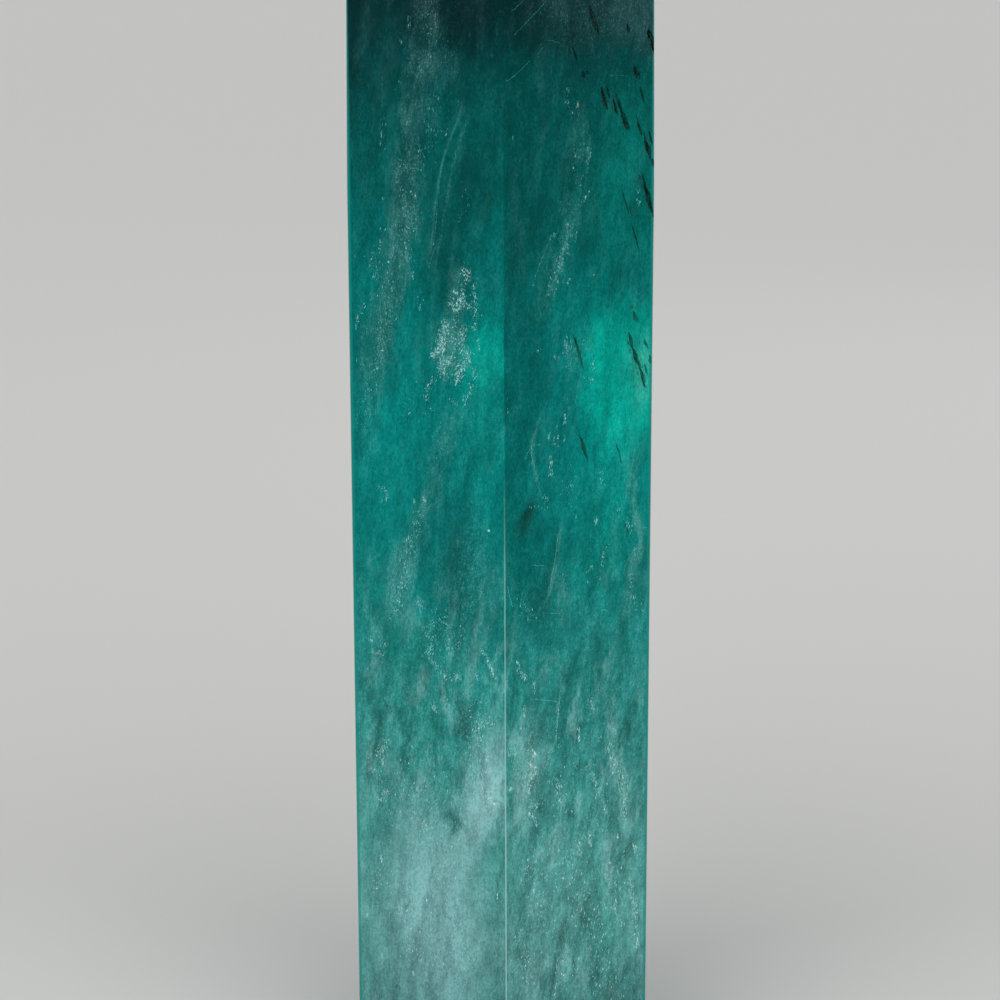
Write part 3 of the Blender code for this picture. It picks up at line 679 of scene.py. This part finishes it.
# The healed cracks and scratches, as lines across and up a flank point by point, in millimetres
threads = {
    "frontLeft": {
        "longThread": (2.7, 154.5, 2.3, 151.3, 1.9, 149, 1.7, 147.2),
        "besideThread": (2.2, 147.4, 1.4, 145.4, 0.7, 143.7),
    },
    "frontRight": {
        "topScratch": (-9.9, 186.4, -12.3, 184.5), "crossScratch": (-6.1, 186, -8.3, 183.9, -11.8, 180.9),
        "bentScratch": (-6.7, 178.9, -7.6, 177.7),
        "slantScratch": (-9.1, 176.8, -10.8, 175.4, -13.4, 173.6),
        "levelScratch": (-6.1, 180, -3.4, 179.4), "rightLevel": (5.8, 174.1, 9, 173.8),
        "wispEdge": (-5, 149.2, -5.7, 148.1, -7.2, 144.9, -8.5, 141.7),
        "hook": (-7.2, 120.1, -7.5, 118.7, -8.4, 117, -9, 114.9, -8.6, 113, -8.1, 111, -7.8, 109.2),
        "hookTail": (-9.1, 114.8, -10.1, 113.3), "hookLevel": (-8.7, 115.4, -7, 115.3),
        "hookCrest": (-5.6, 115, -4.7, 115.3, -4, 115, -3.3, 114.2),
        "column": (-3.8, 100, -4.3, 95.5, -5, 92.9, -5.4, 89.9),
        "crack": (-3, 75.6, -3.4, 71.6, -3.7, 68.3, -4.1, 64),
        "crackLevel": (-9.1, 72.6, -6.2, 72, -3.4, 71.1), "dashA": (-8.4, 95.3, -6.4, 95),
        "dashB": (-5.1, 86.8, -3.4, 86.5), "dashC": (4.4, 85.9, 6, 85.6),
        "dashD": (12.1, 99.2, 13.7, 99), "edgeArc": (-13.4, 92.6, -13, 91, -12.5, 89),
    },
}
threadShape = {
    "wide": 0.13, "uneven": (0.5, 1.2), "thick": 0.04, "step": 0.5, "overlap": 1.4, "stray": 0.05,
    "rounds": 2, "corners": (0.25, 0.75), "seed": 17,
}

# The flecks of the flanks behind and beside, which hang in slanting drifts of their own
driftFlecks = {
    "flanks": ("right", "backRight", "backLeft", "left"), "drifts": 7, "flecks": 70, "many": 1.8,
    "across": 11, "low": 12, "high": 176, "reach": 26, "lean": 0.1, "spread": 1.3, "long": 0.5,
    "slant": 8, "turn": 24, "seed": 23,
}


def meshFrom(name, shape):
    mesh = bpy.data.meshes.new(name)
    shape.to_mesh(mesh)
    shape.free()
    return mesh


def addObject(name, data):
    thing = bpy.data.objects.new(name, data)
    bpy.context.scene.collection.objects.link(thing)
    return thing


def flankAxes(flank):
    # the frame of a flank: x rightwards, y up and z outwards, from the foot of its middle line
    turn, reach, lean = flanks[flank]
    outward = outwardOf(flank)[0]
    rightward = Vector((-math.sin(math.radians(turn)), math.cos(math.radians(turn)), 0))
    up = outward.cross(rightward)
    axes = Matrix((rightward, up, outward)).transposed().to_4x4()
    foot = Vector((outward.x, outward.y, 0)).normalized() * reach
    return Matrix.Translation(foot) @ axes


def makeFleck():
    # the flat diamond that every fleck is a copy of
    shape = bmesh.new()
    bmesh.ops.create_uvsphere(shape, u_segments=4, v_segments=2, radius=0.5)
    return meshFrom("fleck", shape)


def addFleck(shape, axes, across, height, depth, size, lean):
    # its long side lies up the flank and is turned by lean
    place = Matrix.Translation((across, height, -depth)) @ Matrix.Rotation(lean, 4, "Z")
    mesh = oneFleck.copy()
    mesh.transform(Matrix.Scale(mm, 4) @ axes @ place @ Matrix.Diagonal((*size, 1)))
    shape.from_mesh(mesh)
    bpy.data.meshes.remove(mesh)


def spotsOf(line):
    # the numbers of a line, two by two
    return list(zip(line[::2], line[1::2]))


def pointAlong(line, share):
    lengths = [math.dist(start, end) for start, end in zip(line, line[1:])]
    left = share * sum(lengths)
    for start, end, length in zip(line, line[1:], lengths):
        if left <= length:
            return Vector(start).lerp(Vector(end), left / length)
        left -= length
    return Vector(line[-1])


def scatter(shape, axes, strand, group, chance):
    count, stray, long, *line = strand
    line = spotsOf(line)
    stray *= fleckShape["stray"]
    for _ in range(round(count * group["many"])):
        across, height = pointAlong(line, chance.random())
        isCrumb = chance.random() < fleckShape["crumbs"]
        reach = stray * (fleckShape["crumbStray"] if isCrumb else 1)
        across += chance.gauss(0, reach)
        height += chance.gauss(0, reach)
        across = min(max(across, -fleckShape["edge"]), fleckShape["edge"])
        share = chance.random() ** fleckShape["rarer"]
        length = long * (fleckShape["smallest"] + fleckShape["spare"] * share)
        length *= fleckShape["crumbSize"] if isCrumb else 1
        wide = length * chance.uniform(*fleckShape["wide"])
        thick = length * fleckShape["thick"]
        depth = chance.uniform(*fleckShape["level"]) * thick
        if chance.random() < fleckShape["buried"]:
            depth = chance.uniform(*fleckShape["depths"]) * fleckShape["deep"]
        lean = math.radians(-group["slant"] + chance.gauss(0, group["turn"]))
        addFleck(shape, axes, across, height, depth, (wide, length, thick), lean)


def rounded(line):
    # cuts the corners of a line of spots, and keeps its ends
    for _ in range(threadShape["rounds"]):
        cut = [line[0]]
        for start, end in zip(line, line[1:]):
            cut += [Vector(start).lerp(Vector(end), share) for share in threadShape["corners"]]
        line = cut + [line[-1]]
    return line


def addThread(shape, axes, line, chance):
    # a chain of slim flecks that overlap end to end along the line
    line = rounded(spotsOf(line))
    length = sum(math.dist(start, end) for start, end in zip(line, line[1:]))
    steps = max(2, round(length / threadShape["step"]))
    for step in range(steps):
        near, far = pointAlong(line, step / steps), pointAlong(line, (step + 1) / steps)
        run = far - near
        off = Vector((chance.gauss(0, 1), chance.gauss(0, 1))) * threadShape["stray"]
        middle = (near + far) / 2 + off
        wide = threadShape["wide"] * chance.uniform(*threadShape["uneven"])
        size = (wide, run.length * threadShape["overlap"], threadShape["thick"])
        addFleck(shape, axes, middle.x, middle.y, 0, size, math.atan2(-run.x, run.y))


def finishPiece(name, shape, material):
    piece = addObject(name, meshFrom(name, shape))
    piece.data.materials.append(material)
    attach(piece, "root")


# The finishes of the flecks: the dull colour high up, the dull one at the foot and the bright one,
# how evenly they lie between them, and how smooth they are
fleckFinish = {
    # the sparkle flecks' bright colour is partly their own white and partly painted glint
    "sparkle": ((4, 126, 123), (84, 166, 162), (216, 255, 255), 0.6, 0.25),
    "fleck": ((2, 106, 104), (98, 172, 167), (170, 242, 246), 0.19, 0.3),
    "haze": ((10, 122, 118), (104, 172, 166), (182, 236, 238), 0.2, 0.4),
    "thread": ((8, 90, 88), (76, 158, 152), (96, 172, 168), 0.1, 0.4),
    "stain": ((4, 54, 50), (0, 190, 165), (52, 66, 50), 0.26, 0.55),
}

# How the flecks change one by one, in cells in millimetres, and by height in metres: they fade
# towards the tip and turn dull and milky towards the foot, and a few flecks whose finish isn't plain get
# painted blue and orange glints
glints = {
    "cell": 0.28, "plain": ("stain", "thread"), "fade": (0.15, 0.176), "faded": 0.5,
    "dull": (0.15, 0.06), "milk": (0.095, 0.06), "milky": (226, 238, 236),
    "paintedBlueGlint": (96, 200, 228), "blueCells": (0.955, 0.96), "blueness": 0.5,
    "paintedOrangeGlint": (255, 190, 140), "orangeCells": (0.03, 0.02), "orangeBright": (0.6, 0.7), "orangeness": 0.7,
}


def fleckMaterial(name):
    dullHigh, dullLow, bright, bias, roughness = fleckFinish[name]
    material, start = newMaterial(name + "Finish")
    raw = start.add("TexCoord", None, None, "Object")
    cells = {"Vector": raw, "Scale": 1 / (glints["cell"] * mm), "Randomness": 1.0}
    node = raw.add("TexVoronoi", None, cells).socket.node
    first, second, third = splitColour(Wire(start.tree, node.outputs["Color"]))
    height = parts(raw)[2]
    strength = (first * first) * (first * first) * (1 - bias) + bias * second
    strength = strength * (1.0 - ease(height, *glints["fade"]) * glints["faded"])
    dull = tint(srgb(*dullHigh), srgb(*dullLow), ease(height, *glints["dull"]))
    if name in glints["plain"]:
        colour = tint(dull, srgb(*bright), strength)
    else:
        bright = tint(srgb(*bright), srgb(*glints["milky"]), ease(height, *glints["milk"]))
        # painted glints in the fleck colour: a few cells blue, and a few bright ones orange
        paintedBlueGlint = ease(third, *glints["blueCells"]) * glints["blueness"]
        paintedOrangeGlint = ease(third, *glints["orangeCells"]) * ease(first, *glints["orangeBright"])
        colour = tint(dull, bright, strength)
        colour = tint(colour, srgb(*glints["paintedBlueGlint"]), paintedBlueGlint)
        colour = tint(colour, srgb(*glints["paintedOrangeGlint"]), paintedOrangeGlint * glints["orangeness"])
    shader = colour.add("BsdfPrincipled", None, {
        "Base Color": colour, "Roughness": roughness, "IOR": crystal["ior"],
        "Specular Tint": crystal["glossTint"]})
    start.add("OutputMaterial", None, {"Surface": shader})
    return material


def makeDrifts(finish):
    shape = bmesh.new()
    chance = random.Random(driftFlecks["seed"])
    reach = driftFlecks["reach"]
    for flank in driftFlecks["flanks"]:
        for _ in range(driftFlecks["drifts"]):
            across = chance.uniform(-1, 1) * driftFlecks["across"]
            height = chance.uniform(driftFlecks["low"], driftFlecks["high"] - reach)
            line = (across, height, across + driftFlecks["lean"] * reach, height + reach)
            strand = (driftFlecks["flecks"], driftFlecks["spread"], driftFlecks["long"], *line)
            scatter(shape, flankAxes(flank), strand, driftFlecks, chance)
    finishPiece("driftFlecks", shape, finish)


def makeThreads(finish):
    shape = bmesh.new()
    chance = random.Random(threadShape["seed"])
    for flank, lines in threads.items():
        for line in lines.values():
            addThread(shape, flankAxes(flank), line, chance)
    finishPiece("threads", shape, finish)


def makeFlecks():
    finishes = {name: fleckMaterial(name) for name in fleckFinish}
    for name, group in inclusions.items():
        chance = random.Random(group["seed"])
        shape = bmesh.new()
        for strand in group["strands"]:
            scatter(shape, flankAxes(group["flank"]), strand, group, chance)
        finishPiece(name, shape, finishes[group["finish"]])
    makeDrifts(finishes["fleck"])
    makeThreads(finishes["thread"])


oneFleck = makeFleck()
makeFlecks()
print("flecks placed")

# The studio: a pale floor, a soft sky, two broad soft lights and two soft boxes
studio = {
    "floor": (208, 208, 206),
    "floorReach": 20,
    "floorRoughness": 0.7,
    "sky": (0.8, 0.81, 0.82, 1),
    "skyStrength": 0.52,
    "aim": (0, 0, 0.11),
    "broad": {
        "broadLeft": ((-0.62, -0.8, 0.75), 50, 1.3),
        "broadRight": ((0.55, -0.85, 0.7), 50, 1.15),
    },
    "boxes": {
        "topBox": ((-0.35, 0.1, 0.95), 0.35, 0.3),
        "backBox": ((0.35, 0.75, 0.55), 0.4, 0.3),
    },
}


def layFloor():
    shape = bmesh.new()
    bmesh.ops.create_grid(shape, x_segments=1, y_segments=1, size=studio["floorReach"])
    floor = addObject("floor", meshFrom("floor", shape))
    material, start = newMaterial("paleFloor")
    shader = start.add("BsdfPrincipled", None, {
        "Base Color": srgb(*studio["floor"]), "Roughness": studio["floorRoughness"]})
    start.add("OutputMaterial", None, {"Surface": shader})
    floor.data.materials.append(material)


def hangLight(name, kind, spot, aim, power):
    # a light at spot that points at aim
    lamp = bpy.data.lights.new(name, kind)
    lamp.energy = power
    light = addObject(name, lamp)
    light.location = spot
    light.rotation_euler = (Vector(aim) - Vector(spot)).to_track_quat("-Z", "Y").to_euler()
    return lamp


def hangLights():
    for name, (spot, size, power) in studio["boxes"].items():
        hangLight(name, "AREA", spot, studio["aim"], power).size = size
    for name, (spot, spread, power) in studio["broad"].items():
        hangLight(name, "SUN", spot, (0, 0, 0), power).angle = math.radians(spread)
    world = bpy.data.worlds.new("softSky")
    world.use_nodes = True
    sky = world.node_tree.nodes["Background"]
    sky.inputs["Color"].default_value = studio["sky"]
    sky.inputs["Strength"].default_value = studio["skyStrength"]
    bpy.context.scene.world = world
    bpy.context.scene.view_settings.view_transform = "Standard"


# The camera stands level with the tip and looks a little down at the middle of the column
shot = {
    "lens": 93.8, "sensor": 36, "nearest": 0.01, "distance": 0.45, "down": 13,
    "aim": (-0.0002, 0, 0.1003), "roll": -0.13,
}


def setCamera():
    data = bpy.data.cameras.new("camera")
    data.lens = shot["lens"]
    data.sensor_width = shot["sensor"]
    data.clip_start = shot["nearest"]
    camera = addObject("camera", data)
    down = math.radians(shot["down"])
    back = Vector((0, -math.cos(down), math.sin(down))) * shot["distance"]
    camera.location = Vector(shot["aim"]) + back
    facing = (-back).to_track_quat("-Z", "Y").to_matrix().to_4x4()
    turned = facing @ Matrix.Rotation(math.radians(shot["roll"]), 4, "Z")
    camera.rotation_euler = turned.to_euler()
    bpy.context.scene.camera = camera


layFloor()
hangLights()
setCamera()
print("studio ready")
